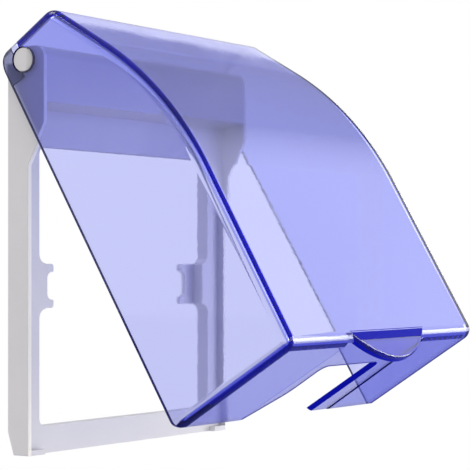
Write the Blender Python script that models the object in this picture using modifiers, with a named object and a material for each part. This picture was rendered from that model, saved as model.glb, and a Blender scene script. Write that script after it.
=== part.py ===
"""Waterproof cover for a square wall socket: a moulded base frame and a clear hinged splash cover.

Metres, +Z up, the wall is the plane Y = 0 and the front faces -Y.
Sections are drawn in two numbers: u, the distance in front of the hinge axis, and v, the height above it.
The cover is drawn closed, in its hinge empty's own frame, and the empty holds it part open.
"""
import math

import bmesh
import bpy
from mathutils import Matrix, Vector

MM = 0.001

# Place of the hinge axis: in front of the wall, and above the middle of the top rail's back.
AXIS_OUT = 6.4
AXIS_UP = 2.5
REST_OPENING = 30.5

# Base frame, outside.
FRAME_WIDTH = 90.0
FRAME_BOTTOM = -97.6
RIM_OUT = 0.0
WALL = 1.3
FRAME_EDGE = 0.35
HEEL_UP = 5.1
HEEL_IN = 1.6

# The head across the top, which carries the hinge, and the ears below it.
HEAD_RADIUS = 3.5
HEAD_FRONT = 5.6
HEAD_CORNER = 3.0
HEAD_WALL = 1.6
HEAD_BACK_TOP = -0.5
RAIL_HEIGHT = 4.0
EAR_FOOT = -15.5
EAR_END = -26.0

# The recess that the socket's own plate sits in.
FLOOR_OUT = -1.85
FLOOR_THICK = 1.6
RECESS_TOP_FRONT = -10.4
RECESS_TOP_BACK = -11.6
MOUTH_SIDE = 6.8
MOUTH_HALF = FRAME_WIDTH / 2.0 - MOUTH_SIDE

# The window, its rear flange and the two screw tabs.
WINDOW_SIDE = 6.7
WINDOW_HALF = FRAME_WIDTH / 2.0 - WINDOW_SIDE
WINDOW_SILL = 6.8
WINDOW_TOP = -20.8
WINDOW_BOTTOM = FRAME_BOTTOM + WINDOW_SILL
WINDOW_CORNER = 2.0
FLANGE = 1.3
FLANGE_BACK = -5.3
TAB_CENTRE = (WINDOW_TOP + WINDOW_BOTTOM) / 2.0
TAB_HALF = 5.75
TAB_SHOULDER = 2.7
TAB_STEP = WINDOW_HALF - TAB_SHOULDER
TAB_ROOT = 2.4
TAB_REACH = 9.5
TAB_TIP = WINDOW_HALF - TAB_REACH
TAB_CORNER = 0.8
TAB_SHY = 0.15
TAB_BITE = 0.8
TAB_BACK = -5.9
TAB_FRONT = -4.9
NOTCH_HALF = 3.5
NOTCH_DEPTH = 2.5
NOTCH_CORNER = 1.6
TIP_ROUND = 0.5

# Hinge pins, and the holes that turn on them.
PIN_RADIUS = 2.9
PIN_GAP = 0.3
PIN_SHORT = 0.25
PIN_BEVEL_FROM = 0.9
PIN_BEVEL_ANGLE = 32.0

# Splash cover, outside.
SIDE_GAP = 0.4
COVER_WALL = 1.9
COVER_EDGE = 2.6
WALL_GAP = 0.2
COVER_BACK = WALL_GAP - AXIS_OUT
BOTTOM_GAP = 0.5
COVER_BACK_BOTTOM = FRAME_BOTTOM - BOTTOM_GAP - COVER_WALL
BOTTOM_RISE = 1.7
COVER_FRONT_BOTTOM = COVER_BACK_BOTTOM + BOTTOM_RISE
HEEL_RADIUS = 2.5
HEEL_SINK = 0.12
TOP_GAP = 0.4
TOP_HEIGHT = HEAD_RADIUS + TOP_GAP + COVER_WALL
TOP_SLOPE = 4.0
BROW_RADIUS = 3.5
BOW_RADIUS = 85.0
BOW_ANGLE = 29.0
BOW_FRONT = 32.3
BOW_BOTTOM = -50.0
FRONT_AT_BOTTOM = 31.7
CHIN_RADIUS = 3.0

# Snap-on relief round the holes, on the inner faces of the cheeks.
RELIEF_DEPTH = 0.9
RELIEF_FRONT = -2.2
RELIEF_BOTTOM = -3.6

# Cable slot in the bottom wall, in a shallow sunk field. Its left side opens out towards the wall.
SLOT_HALF = 14.1
SLOT_FRONT = 19.0
SLOT_CORNER = 2.4
SLOT_FLARE = 5.4
SLOT_FLARE_FROM = 7.0
SLOT_FLARE_RADIUS = 14.0
FIELD_HALF_FRONT = 19.4
FIELD_HALF_BACK = 21.9
FIELD_DEPTH = 0.45

# Finger lip below the front wall.
LIP_HALF = 19.7
LIP_RISE = 2.9
LIP_DROP = 5.4
LIP_TOP = COVER_FRONT_BOTTOM + LIP_RISE
LIP_BOTTOM = COVER_FRONT_BOTTOM - LIP_DROP
LIP_THICK = 1.4
LIP_PROUD = 0.08

# How far cutters run past what they cut, and how finely rounds are stepped, in degrees.
PAST = 3.0
ROUND_STEP = 12.0
FINE_STEP = 4.2
FLAT_WITHIN = 0.4
SHARP_FROM = 28.0
WELD = 0.000001
SAME_PLACE = 0.00001
PIN_SIDES = 36

OBJECT_NAME = "waterproof_socket_cover"


def clear_scene():
    for item in list(bpy.data.objects):
        bpy.data.objects.remove(item, do_unlink=True)


def new_collection(name):
    group = bpy.data.collections.new(name)
    bpy.context.scene.collection.children.link(group)
    return group


def arc(centre_u, centre_v, radius, start, end, step=ROUND_STEP):
    """Points on a circle from one angle to another, in degrees, anticlockwise if end is the larger."""
    count = max(2, math.ceil(abs(end - start) / step))
    angles = [math.radians(start + (end - start) * i / count) for i in range(count + 1)]
    return [(centre_u + radius * math.cos(a), centre_v + radius * math.sin(a)) for a in angles]


def rounded(corners, step=ROUND_STEP):
    """A closed outline from corners (a, b, radius), each radius tangent to both of its sides."""
    points = []
    count = len(corners)
    for i, (a, b, radius) in enumerate(corners):
        here = Vector((a, b))
        if radius <= 0.0:
            points.append((a, b))
            continue
        before = Vector(corners[i - 1][:2]) - here
        after = Vector(corners[(i + 1) % count][:2]) - here
        before.normalize()
        after.normalize()
        half = before.angle(after) / 2.0
        centre = here + (before + after).normalized() * (radius / math.sin(half))
        start = here + before * (radius / math.tan(half)) - centre
        sweep = math.pi - 2.0 * half
        turn = 1.0 if before.x * after.y - before.y * after.x < 0.0 else -1.0
        steps = max(2, math.ceil(math.degrees(sweep) / step))
        for k in range(steps + 1):
            angle = turn * sweep * k / steps
            across = Vector((start.x * math.cos(angle) - start.y * math.sin(angle),
                             start.x * math.sin(angle) + start.y * math.cos(angle)))
            points.append(tuple(centre + across))
    return points


def inset_path(points, distance):
    """An open path moved to its left by a distance, its sides kept parallel."""
    moved = []
    for i, here in enumerate(points):
        p = Vector(here)
        sides = []
        if i > 0:
            sides.append((p - Vector(points[i - 1])).normalized())
        if i < len(points) - 1:
            sides.append((Vector(points[i + 1]) - p).normalized())
        normals = [Vector((-s.y, s.x)) for s in sides]
        mean = sum(normals, Vector((0.0, 0.0))).normalized()
        moved.append(tuple(p + mean * (distance / mean.dot(normals[0]))))
    return moved


SIDE_VIEW = Matrix(((0, 0, -1), (-1, 0, 0), (0, 1, 0))).to_4x4()
FRONT_VIEW = Matrix(((1, 0, 0), (0, 0, -1), (0, 1, 0))).to_4x4()
PLAN_VIEW = Matrix(((1, 0, 0), (0, -1, 0), (0, 0, -1))).to_4x4()


def prism(name, outlines, low, high, view, group, parent=None, turn=None):
    """A flat outline, with any further outlines as holes, made solid from low to high across its view."""
    curve = bpy.data.curves.new(name, "CURVE")
    curve.dimensions = "2D"
    curve.fill_mode = "BOTH"
    curve.extrude = (high - low) / 2.0 * MM
    for outline in outlines:
        spline = curve.splines.new("POLY")
        spline.points.add(len(outline) - 1)
        for point, (a, b) in zip(spline.points, outline):
            point.co = (a * MM, b * MM, 0.0, 1.0)
        spline.use_cyclic_u = True
    drawn = bpy.data.objects.new(name + "_outline", curve)
    bpy.context.scene.collection.objects.link(drawn)
    middle = Matrix.Translation((0.0, 0.0, (high + low) / 2.0 * MM))
    place = view @ middle
    if turn is not None:
        place = turn @ place
    bpy.context.view_layer.update()
    mesh = bpy.data.meshes.new_from_object(drawn.evaluated_get(bpy.context.evaluated_depsgraph_get()))
    bpy.data.objects.remove(drawn, do_unlink=True)
    mesh.name = name
    solid = bmesh.new()
    solid.from_mesh(mesh)
    bmesh.ops.remove_doubles(solid, verts=solid.verts, dist=WELD)
    bmesh.ops.dissolve_limit(solid, angle_limit=math.radians(FLAT_WITHIN), verts=solid.verts, edges=solid.edges)
    solid.transform(place)
    solid.normal_update()
    bmesh.ops.recalc_face_normals(solid, faces=solid.faces)
    solid.to_mesh(mesh)
    solid.free()
    mesh.materials.clear()
    body = bpy.data.objects.new(name, mesh)
    group.objects.link(body)
    body.parent = parent
    return body


def round_bar(name, radius, low, high, group, parent=None, centre=(0.0, 0.0)):
    """A round bar along X, centred on the point (u, v)."""
    solid = bmesh.new()
    bmesh.ops.create_cone(solid, cap_ends=True, segments=PIN_SIDES, radius1=radius * MM,
                          radius2=radius * MM, depth=(high - low) * MM)
    place = Matrix.Translation(((low + high) / 2.0 * MM, -centre[0] * MM, centre[1] * MM))
    solid.transform(place @ Matrix.Rotation(math.radians(90.0), 4, "Y"))
    mesh = bpy.data.meshes.new(name)
    solid.to_mesh(mesh)
    solid.free()
    body = bpy.data.objects.new(name, mesh)
    group.objects.link(body)
    body.parent = parent
    return body


def as_cutter(body):
    body.hide_render = True
    body.display_type = "WIRE"
    return body


def combine(body, other, operation):
    step = body.modifiers.new(other.name, "BOOLEAN")
    step.operation = operation
    step.solver = "EXACT"
    step.object = as_cutter(other)
    return step


def round_long_edges(body, width, segments, keep_sharp=None):
    """Round the outline's edges on both end faces, except where keep_sharp(u, v) says so."""
    mesh = body.data
    weights = mesh.attributes.new("bevel_weight_edge", "FLOAT", "EDGE")
    reach = max(abs(v.co.x) for v in mesh.vertices)
    for edge in mesh.edges:
        ends = [mesh.vertices[i].co for i in edge.vertices]
        on_end = all(abs(abs(p.x) - reach) < SAME_PLACE for p in ends) and abs(ends[0].x - ends[1].x) < reach
        spots = [(-p.y / MM, p.z / MM) for p in ends]
        sharp = keep_sharp is not None and all(keep_sharp(u, v) for u, v in spots)
        weights.data[edge.index].value = 1.0 if on_end and not sharp else 0.0
    bevel = body.modifiers.new("edge rounding", "BEVEL")
    bevel.width = width * MM
    bevel.segments = segments
    bevel.limit_method = "WEIGHT"
    bevel.use_clamp_overlap = False
    bevel.miter_outer = "MITER_SHARP"


def plastic(name, colour, roughness, alpha=1.0, transmission=0.0, ior=1.5):
    material = bpy.data.materials.new(name)
    material.use_nodes = True
    shader = material.node_tree.nodes["Principled BSDF"]
    shader.inputs["Base Color"].default_value = (*colour, 1.0)
    shader.inputs["Roughness"].default_value = roughness
    shader.inputs["Metallic"].default_value = 0.0
    shader.inputs["Alpha"].default_value = alpha
    shader.inputs["Transmission Weight"].default_value = transmission
    shader.inputs["IOR"].default_value = ior
    return material


def finish(body, material):
    body.data.materials.append(material)
    body.data.shade_smooth()
    body.data.set_sharp_from_angle(angle=math.radians(SHARP_FROM))


def frame_side_outline():
    """The frame seen from its side: head, ear, side wall and the cut heel at the bottom."""
    outline = [(-AXIS_OUT, HEAD_BACK_TOP), (-AXIS_OUT, FRAME_BOTTOM + HEEL_UP),
               (-AXIS_OUT + HEEL_IN, FRAME_BOTTOM), (RIM_OUT, FRAME_BOTTOM), (RIM_OUT, EAR_END),
               (HEAD_FRONT, EAR_FOOT)]
    corner_u = HEAD_FRONT - HEAD_CORNER
    corner_v = HEAD_RADIUS - HEAD_CORNER
    outline += arc(corner_u, corner_v, HEAD_CORNER, 0.0, 90.0)
    outline += arc(0.0, 0.0, HEAD_RADIUS, 90.0, 180.0)
    outline.append((-HEAD_RADIUS, HEAD_BACK_TOP))
    return outline


def window_outline(grow=0.0):
    """The window seen from the front, with the full-depth part of the two screw tabs stepping into it."""
    half = WINDOW_HALF + grow
    top = WINDOW_TOP + grow
    bottom = WINDOW_BOTTOM - grow
    step = TAB_STEP + grow
    high = TAB_CENTRE + TAB_HALF - grow
    low = TAB_CENTRE - TAB_HALF + grow
    inner = WINDOW_CORNER + grow
    root = max(TAB_ROOT - grow, TIP_ROUND)
    tip = TIP_ROUND
    return rounded([
        (-half, bottom, inner), (half, bottom, inner),
        (half, low, root), (step, low, tip), (step, high, tip), (half, high, root),
        (half, top, inner), (-half, top, inner),
        (-half, high, root), (-step, high, tip), (-step, low, tip), (-half, low, root)])


def build_frame(group, cutters, place):
    half = FRAME_WIDTH / 2.0
    inside = half - WALL
    frame = prism("base_frame", [frame_side_outline()], -half, half, SIDE_VIEW, group, place)
    round_long_edges(frame, FRAME_EDGE, 2, lambda u, v: u < -AXIS_OUT + SAME_PLACE / MM)

    recess = prism("recess", [[(FLOOR_OUT, FRAME_BOTTOM + WALL), (HEAD_FRONT + PAST, FRAME_BOTTOM + WALL),
                               (HEAD_FRONT + PAST, RECESS_TOP_FRONT), (HEAD_FRONT, RECESS_TOP_FRONT),
                               (FLOOR_OUT, RECESS_TOP_BACK)]],
                   -inside, inside, SIDE_VIEW, cutters, place)
    combine(frame, recess, "DIFFERENCE")

    mouth = prism("bottom_mouth", [[(FLOOR_OUT, FRAME_BOTTOM - PAST), (PAST, FRAME_BOTTOM - PAST),
                                    (PAST, FRAME_BOTTOM + 2.0 * WALL), (FLOOR_OUT, FRAME_BOTTOM + 2.0 * WALL)]],
                  -MOUTH_HALF, MOUTH_HALF, SIDE_VIEW, cutters, place)
    combine(frame, mouth, "DIFFERENCE")

    window = prism("window", [window_outline()], -AXIS_OUT - PAST, PAST, FRONT_VIEW, cutters, place)
    combine(frame, window, "DIFFERENCE")

    hollow_top = HEAD_BACK_TOP - RAIL_HEIGHT
    floor_back = FLOOR_OUT - FLOOR_THICK
    hollow_outer = [(-inside, FRAME_BOTTOM + WALL), (inside, FRAME_BOTTOM + WALL),
                    (inside, hollow_top - HEAD_WALL), (-inside, hollow_top - HEAD_WALL)]
    back_hollow = prism("back_hollow", [hollow_outer, window_outline(FLANGE)],
                        -AXIS_OUT - PAST, floor_back, FRONT_VIEW, cutters, place)
    combine(frame, back_hollow, "DIFFERENCE")

    flange_trim = prism("flange_trim", [[(-inside + WALL, FRAME_BOTTOM + 2.0 * WALL),
                                         (inside - WALL, FRAME_BOTTOM + 2.0 * WALL),
                                         (inside - WALL, WINDOW_TOP + 2.0 * FLANGE),
                                         (-inside + WALL, WINDOW_TOP + 2.0 * FLANGE)]],
                        -AXIS_OUT - PAST, FLANGE_BACK, FRONT_VIEW, cutters, place)
    combine(frame, flange_trim, "DIFFERENCE")

    ceiling = HEAD_RADIUS - HEAD_WALL
    front = HEAD_FRONT - HEAD_WALL
    head_hollow = prism("head_hollow", [[(-AXIS_OUT - PAST, hollow_top), (-HEAD_RADIUS + HEAD_WALL, hollow_top),
                                         (-HEAD_RADIUS + HEAD_WALL, 0.0), (0.0, ceiling), (HEAD_WALL, ceiling),
                                         (front, 0.0), (front, RECESS_TOP_FRONT + HEAD_WALL),
                                         (floor_back, RECESS_TOP_BACK + HEAD_WALL),
                                         (-AXIS_OUT - PAST, RECESS_TOP_BACK + HEAD_WALL)]],
                        -inside, inside, SIDE_VIEW, cutters, place)
    combine(frame, head_hollow, "DIFFERENCE")

    for side in (-1.0, 1.0):
        word = "left" if side < 0.0 else "right"
        root = side * (TAB_STEP + FLANGE + TAB_BITE)
        tip = side * TAB_TIP
        deep = side * (TAB_TIP + NOTCH_DEPTH)
        low = TAB_CENTRE - TAB_HALF + TAB_SHY
        high = TAB_CENTRE + TAB_HALF - TAB_SHY
        outline = rounded([
            (root, low, 0.0), (tip, low, TAB_CORNER), (tip, TAB_CENTRE - NOTCH_HALF, TIP_ROUND),
            (deep, TAB_CENTRE - NOTCH_HALF, NOTCH_CORNER), (deep, TAB_CENTRE + NOTCH_HALF, NOTCH_CORNER),
            (tip, TAB_CENTRE + NOTCH_HALF, TIP_ROUND), (tip, high, TAB_CORNER), (root, high, 0.0)])
        tab = prism("screw_tab_" + word, [outline], TAB_BACK, TAB_FRONT, FRONT_VIEW, cutters, place)
        combine(frame, tab, "UNION")

        end = side * (half + SIDE_GAP + COVER_WALL - PIN_SHORT)
        start = side * (half - WALL * 0.5)
        pin = round_bar("hinge_pin_" + word, PIN_RADIUS, min(start, end), max(start, end), cutters, place)
        bevel_pin(pin, end)
        combine(frame, pin, "UNION")
    return frame


def bevel_pin(pin, end):
    """Cut the lead-in bevel on the front of a pin's end, where the cover is pushed on."""
    tilt = math.radians(PIN_BEVEL_ANGLE)
    side = math.copysign(1.0, end)
    normal = Vector((side * math.cos(tilt), -math.sin(tilt), 0.0))
    solid = bmesh.new()
    solid.from_mesh(pin.data)
    bmesh.ops.bisect_plane(solid, geom=solid.verts[:] + solid.edges[:] + solid.faces[:], dist=WELD,
                           plane_co=(end * MM, -PIN_BEVEL_FROM * MM, 0.0), plane_no=normal, clear_outer=True)
    bmesh.ops.holes_fill(solid, edges=[e for e in solid.edges if e.is_boundary])
    bmesh.ops.recalc_face_normals(solid, faces=solid.faces)
    solid.to_mesh(pin.data)
    solid.free()


def cover_skin():
    """The cover's section from the rear of its bottom wall round the front to above the hinge axis."""
    slope = (COVER_FRONT_BOTTOM - COVER_BACK_BOTTOM) / (FRONT_AT_BOTTOM - COVER_BACK)
    bow_centre = (BOW_FRONT - BOW_RADIUS, BOW_BOTTOM)
    bow = arc(*bow_centre, BOW_RADIUS, 0.0, BOW_ANGLE, FINE_STEP)
    top = TOP_HEIGHT
    lean = math.radians(BOW_ANGLE)
    rise = math.tan(math.radians(TOP_SLOPE))
    end_u, end_v = bow[-1]
    brow_u = (end_u * math.cos(lean) + end_v * math.sin(lean) - top * math.sin(lean))
    brow_u /= math.cos(lean) + rise * math.sin(lean)
    brow_v = top + rise * brow_u
    corners = [(COVER_BACK, COVER_BACK_BOTTOM, 0.0), (FRONT_AT_BOTTOM, COVER_FRONT_BOTTOM, CHIN_RADIUS)]
    corners += [(u, v, 0.0) for u, v in bow]
    corners += [(brow_u, brow_v, BROW_RADIUS), (0.0, top, 0.0)]
    return rounded(corners), slope


def run_on(inner, outer, u):
    """The point at u on the line that runs from inner out through outer."""
    return u, outer[1] + (outer[1] - inner[1]) * (u - outer[0]) / (outer[0] - inner[0])


def cover_block(skin):
    """The closed outside section, run on behind the back edge so that its rounding ends cleanly there."""
    behind = COVER_BACK - 2.0 * PAST
    return [run_on(skin[1], skin[0], behind)] + skin[1:-1] + [run_on(skin[-2], skin[-1], behind)]


def back_trim(slope):
    """What is cut from the back of the block: the round over the pins, the back edge and the heel.

    Both rounds run out past the block's surface, so the cut crosses it and doesn't end on it.
    """
    far = COVER_BACK - 3.0 * PAST
    swing = -COVER_BACK
    top_reach = TOP_HEIGHT * math.cos(math.radians(TOP_SLOPE))
    meets = 90.0 + TOP_SLOPE + math.degrees(math.acos(min(1.0, top_reach / swing)))
    top = arc(0.0, 0.0, swing, meets - ROUND_STEP, 180.0)
    heel_u = COVER_BACK + HEEL_RADIUS
    heel_v = COVER_BACK_BOTTOM + slope * HEEL_RADIUS + HEEL_RADIUS - HEEL_SINK
    round_part = top + arc(heel_u, heel_v, HEEL_RADIUS, 180.0, 270.0)
    below = COVER_BACK_BOTTOM - PAST
    above = TOP_HEIGHT + PAST
    return round_part + [(round_part[-1][0], below), (far, below), (far, above), (top[0][0], above)]


def cover_hollow(skin):
    """The inside section, carried out through the open back and up through the top behind the axis."""
    inner = inset_path(skin, COVER_WALL)
    behind = COVER_BACK - PAST
    inner[0] = run_on(inner[1], inner[0], behind)
    above = TOP_HEIGHT + PAST
    return inner + [(inner[-1][0], above), (behind, above)]


def bottom_plane(slope):
    """Turn a plan drawn on v = 0 so that it lies on the sloping outside of the bottom wall."""
    lift = COVER_BACK_BOTTOM - slope * COVER_BACK
    return Matrix.Translation((0.0, 0.0, lift * MM)) @ Matrix.Rotation(-math.atan(slope), 4, "X")


def build_cover(group, cutters, hinge):
    half = FRAME_WIDTH / 2.0 + SIDE_GAP + COVER_WALL
    inside = half - COVER_WALL
    skin, slope = cover_skin()
    cover = prism("splash_cover", [cover_block(skin)], -half, half, SIDE_VIEW, group, hinge)
    round_long_edges(cover, COVER_EDGE, 4)

    trim = prism("back_trim", [back_trim(slope)], -half - PAST, half + PAST, SIDE_VIEW, cutters, hinge)
    combine(cover, trim, "DIFFERENCE")

    hollow = prism("cover_hollow", [cover_hollow(skin)], -inside, inside, SIDE_VIEW, cutters, hinge)
    round_long_edges(hollow, COVER_EDGE - COVER_WALL, 2)
    combine(cover, hollow, "DIFFERENCE")

    lip_front = FRONT_AT_BOTTOM + LIP_PROUD
    sag = LIP_TOP - LIP_BOTTOM
    lip_radius = (LIP_HALF ** 2 + sag ** 2) / (2.0 * sag)
    reach = math.degrees(math.asin(LIP_HALF / lip_radius))
    lip_outline = arc(0.0, LIP_BOTTOM + lip_radius, lip_radius, 270.0 - reach, 270.0 + reach, FINE_STEP)
    on_bottom = bottom_plane(slope)
    lip_back = lip_front - LIP_THICK
    behind = COVER_BACK - PAST
    field_plan = [(-FIELD_HALF_BACK, behind), (FIELD_HALF_BACK, behind),
                  (FIELD_HALF_FRONT, lip_front + PAST), (-FIELD_HALF_FRONT, lip_front + PAST)]
    field = prism("slot_field", [field_plan], -FIELD_DEPTH, PAST, PLAN_VIEW, cutters, hinge, on_bottom)
    combine(cover, field, "DIFFERENCE")

    lip = prism("finger_lip", [lip_outline], lip_back, lip_front, FRONT_VIEW, cutters, hinge)
    combine(cover, lip, "UNION")

    flare = SLOT_FLARE * (SLOT_FLARE_FROM - behind) / (SLOT_FLARE_FROM - COVER_BACK)
    slot_plan = rounded([(-SLOT_HALF - flare, behind, 0.0), (SLOT_HALF, behind, 0.0),
                         (SLOT_HALF, SLOT_FRONT, SLOT_CORNER), (-SLOT_HALF, SLOT_FRONT, SLOT_CORNER),
                         (-SLOT_HALF, SLOT_FLARE_FROM, SLOT_FLARE_RADIUS)])
    slot = prism("cable_slot", [slot_plan], -COVER_WALL - PAST, PAST, PLAN_VIEW, cutters, hinge, on_bottom)
    combine(cover, slot, "DIFFERENCE")

    relief = prism("snap_relief", [[(COVER_BACK - PAST, RELIEF_BOTTOM), (RELIEF_FRONT, RELIEF_BOTTOM),
                                    (RELIEF_FRONT, TOP_HEIGHT + PAST), (COVER_BACK - PAST, TOP_HEIGHT + PAST)]],
                   -inside - RELIEF_DEPTH, inside + RELIEF_DEPTH, SIDE_VIEW, cutters, hinge)
    combine(cover, relief, "DIFFERENCE")

    hole = round_bar("hinge_holes", PIN_RADIUS + PIN_GAP, -half - PAST, half + PAST, cutters, hinge)
    combine(cover, hole, "DIFFERENCE")
    return cover


clear_scene()
parts = new_collection(OBJECT_NAME)
cutting = new_collection("cutters")

axis = bpy.data.objects.new("hinge_axis", None)
axis.location = (0.0, -AXIS_OUT * MM, AXIS_UP * MM)
parts.objects.link(axis)

hinge = bpy.data.objects.new("cover_hinge", None)
hinge.parent = axis
hinge.rotation_euler = (math.radians(-REST_OPENING), 0.0, 0.0)
parts.objects.link(hinge)
bpy.context.view_layer.update()

base_frame = build_frame(parts, cutting, axis)
splash_cover = build_cover(parts, cutting, hinge)

finish(base_frame, plastic("frame_grey", (0.60, 0.585, 0.575), 0.42))
finish(splash_cover, plastic("clear_blue", (0.12, 0.16, 0.86), 0.06, 0.45, 0.9, 1.58))
bpy.context.view_layer.update()
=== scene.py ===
# %% [markdown]
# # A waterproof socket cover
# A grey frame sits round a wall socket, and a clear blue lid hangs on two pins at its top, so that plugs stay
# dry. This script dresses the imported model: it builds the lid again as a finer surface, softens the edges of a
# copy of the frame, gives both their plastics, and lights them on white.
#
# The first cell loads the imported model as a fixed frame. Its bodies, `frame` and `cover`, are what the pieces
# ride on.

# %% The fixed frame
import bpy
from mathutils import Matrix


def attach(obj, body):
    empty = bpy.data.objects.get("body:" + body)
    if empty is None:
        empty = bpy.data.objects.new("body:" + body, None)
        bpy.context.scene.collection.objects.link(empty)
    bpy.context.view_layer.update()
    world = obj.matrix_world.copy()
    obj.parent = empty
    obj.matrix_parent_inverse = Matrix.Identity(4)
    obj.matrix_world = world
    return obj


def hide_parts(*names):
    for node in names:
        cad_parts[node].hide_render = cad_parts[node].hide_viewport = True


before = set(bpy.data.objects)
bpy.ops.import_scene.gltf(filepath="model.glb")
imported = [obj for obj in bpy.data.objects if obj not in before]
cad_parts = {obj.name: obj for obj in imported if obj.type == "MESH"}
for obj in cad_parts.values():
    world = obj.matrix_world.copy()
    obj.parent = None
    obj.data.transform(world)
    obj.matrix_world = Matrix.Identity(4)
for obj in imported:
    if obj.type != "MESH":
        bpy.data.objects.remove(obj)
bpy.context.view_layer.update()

import math

import bmesh
import bpy
import numpy as np
from mathutils import Matrix, Vector

MM = 0.001
CUBIC_CM_IN_A_CUBIC_METRE = 1e6

# %% [markdown]
# ## Sections
# The lid is best drawn from the side, as the toolmaker draws it, in two numbers: u is the distance in front of
# the hinge axis and v the height above it, in millimetres. It is drawn closed and then turned open about the
# axis, and its finished mesh keeps that place.

# %% Where things are
AXIS_OUT = 6.4
AXIS_UP = 2.5
REST_OPENING = 30.5
HALF_WIDTH = 45.0


def opened(points):
    """Row-frame metres of lid points (x, u, v) in mm.

    The points are turned up by the opening about the axis, and then moved to where the axis is.
    """
    angle = math.radians(REST_OPENING)
    x, u, v = points[..., 0], points[..., 1], points[..., 2]
    out = u * math.cos(angle) - v * math.sin(angle) + AXIS_OUT
    up = u * math.sin(angle) + v * math.cos(angle) + AXIS_UP
    return np.stack((x, -out, up), axis=-1) * MM


print("hinge axis: %.1f mm from the wall, %.1f mm up; rest %.1f degrees open" % (AXIS_OUT, AXIS_UP, REST_OPENING))

# %% [markdown]
# ## Outlines
# A moulded part has no sharp corners in its outline. Each corner here is an arc that is tangent to both of its
# sides. Moving a whole outline inwards gives the inside of a wall, and the rings of a rounded rim.

# %% Arcs, rounded corners and insets
def arc(centre, radius, start, end, step=2.0):
    """Points on a circle: the centre plus the radius times the cosine and the sine of each angle, in degrees."""
    angle = np.radians(np.linspace(start, end, max(3, math.ceil(abs(end - start) / step) + 1)))
    return np.column_stack((centre[0] + radius * np.cos(angle), centre[1] + radius * np.sin(angle)))


def corner_arc(before, corner, after, radius, step=4.0):
    """The arc in a corner. Its centre lies on the bisector, at the radius over the sine of the half angle."""
    p = (before - corner) / np.linalg.norm(before - corner)
    q = (after - corner) / np.linalg.norm(after - corner)
    half = math.acos(float(np.clip(p @ q, -1.0, 1.0))) / 2.0
    centre = corner + (p + q) / np.linalg.norm(p + q) * radius / math.sin(half)
    start = corner + p * radius / math.tan(half) - centre
    side = np.sign(p[1] * q[0] - p[0] * q[1])
    crosswise = np.array((-start[1], start[0])) * side
    sweep = math.pi - 2.0 * half
    angle = np.linspace(0.0, sweep, max(3, math.ceil(math.degrees(sweep) / step) + 1))[:, None]
    return centre + np.cos(angle) * start + np.sin(angle) * crosswise


def rounded(corners, step=4.0):
    """A closed outline from corners (a, b, radius): straight sides with an arc in each corner."""
    spots = np.array([c[:2] for c in corners], float)
    radii = [c[2] for c in corners]
    count = len(corners)
    return np.vstack([spots[i][None] if radii[i] <= 0.0
                      else corner_arc(spots[i - 1], spots[i], spots[(i + 1) % count], radii[i], step)
                      for i in range(count)])


def inset(outline, distance):
    """A closed anticlockwise outline moved inwards.

    Each point goes along the mean of its two sides' normals, by the distance over the cosine to either.
    """
    along = np.roll(outline, -1, axis=0) - outline
    normal = np.column_stack((-along[:, 1], along[:, 0]))
    normal /= np.linalg.norm(normal, axis=1, keepdims=True)
    mean = normal + np.roll(normal, 1, axis=0)
    mean /= np.linalg.norm(mean, axis=1, keepdims=True)
    return outline + mean * distance / np.sum(mean * normal, axis=1, keepdims=True)


# %% [markdown]
# ## Solids from rings
# A section that is carried straight across is a plain bar. If its last few rings are inset along a quarter
# circle, the bar gets the rounded rim that the lid has between its cheeks and its front. The surface is a grid:
# one parameter runs round the outline, the other from ring to ring, and a flat face closes each end.

# %% A bar with rounded rims
def rings_of(outline, low, high, rim_low=0.0, rim_high=0.0, steps=8, moved_in=inset):
    """Rings (a, b, w) from the low end to the high end.

    Near an end with a rim r, at angle t, the ring is inset by r(1 - sin t) and lies r(1 - cos t) in from the end.
    """
    turn = np.radians(np.linspace(0.0, 90.0, steps + 1))
    levels = []
    if rim_low > 0.0:
        levels += list(zip(low + rim_low * (1.0 - np.cos(turn)), rim_low * (1.0 - np.sin(turn))))
    else:
        levels.append((low, 0.0))
    if rim_high > 0.0:
        levels += list(zip(high - rim_high * (1.0 - np.cos(turn[::-1])), rim_high * (1.0 - np.sin(turn[::-1]))))
    else:
        levels.append((high, 0.0))
    rings = [np.column_stack((moved_in(outline, d) if d > 0.0 else outline, np.full(len(outline), w)))
             for w, d in levels]
    return np.stack(rings)


def face_outwards(mesh):
    """Turns all faces round if the volume that they enclose comes out below zero."""
    shape = bmesh.new()
    shape.from_mesh(mesh)
    if shape.calc_volume(signed=True) < 0.0:
        bmesh.ops.reverse_faces(shape, faces=shape.faces)
    shape.to_mesh(mesh)
    shape.free()


def solid(name, grid):
    """A closed mesh from rings of points: quads between rings and one flat face on each end, turned outwards."""
    rings, count, _ = grid.shape
    index = np.arange(rings * count).reshape(rings, count)
    near, far = index[:-1], index[1:]
    quads = np.stack((near, np.roll(near, -1, 1), np.roll(far, -1, 1), far), axis=-1).reshape(-1, 4)
    faces = [list(q) for q in quads.tolist()] + [index[0][::-1].tolist(), index[-1].tolist()]
    mesh = bpy.data.meshes.new(name)
    mesh.from_pydata(grid.reshape(-1, 3).tolist(), [], faces)
    face_outwards(mesh)
    body = bpy.data.objects.new(name, mesh)
    bpy.context.scene.collection.objects.link(body)
    return body


def across(rings):
    """Rings drawn from the side, (u, v, x), as points (x, u, v)."""
    return rings[..., [2, 0, 1]]


def outward(rings):
    """Rings drawn from the front, (x, v, u), as points (x, u, v)."""
    return rings[..., [0, 2, 1]]


# %% [markdown]
# ## Cutting and joining
# The openings are cut as a machinist would, one after another. Each Boolean result is made a mesh at once, so
# that the finished piece stands by itself and its cutters can go.

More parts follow.
